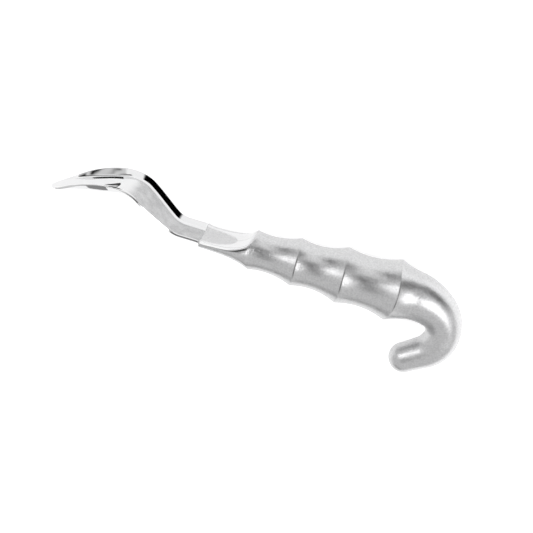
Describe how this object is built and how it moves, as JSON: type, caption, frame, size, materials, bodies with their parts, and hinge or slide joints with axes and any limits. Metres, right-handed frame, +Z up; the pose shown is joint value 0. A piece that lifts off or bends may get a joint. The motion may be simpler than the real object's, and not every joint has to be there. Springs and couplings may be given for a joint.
{
  "type": "lobster cracker",
  "caption": "Rigid hand lever for opening shellfish: a cranked, channel-shaped steel blade set in a cast finger grip that ends in a hook.",
  "frame": {"origin": "centre of the bounding box's bottom, with the tool lying on its side", "axes": "+X along the grip from the blade tip to the hook, +Y towards the side that the blade is cranked to, +Z up, square to the plane that halves the tool"},
  "size_m": [0.2182, 0.0618, 0.0315],
  "materials": {
    "blade": "mirror-polished stainless steel",
    "handle": "satin blasted cast aluminium"
  },
  "bodies": {
    "root": {"blade": "blade", "handle": "handle"}
  },
  "joints": []
}
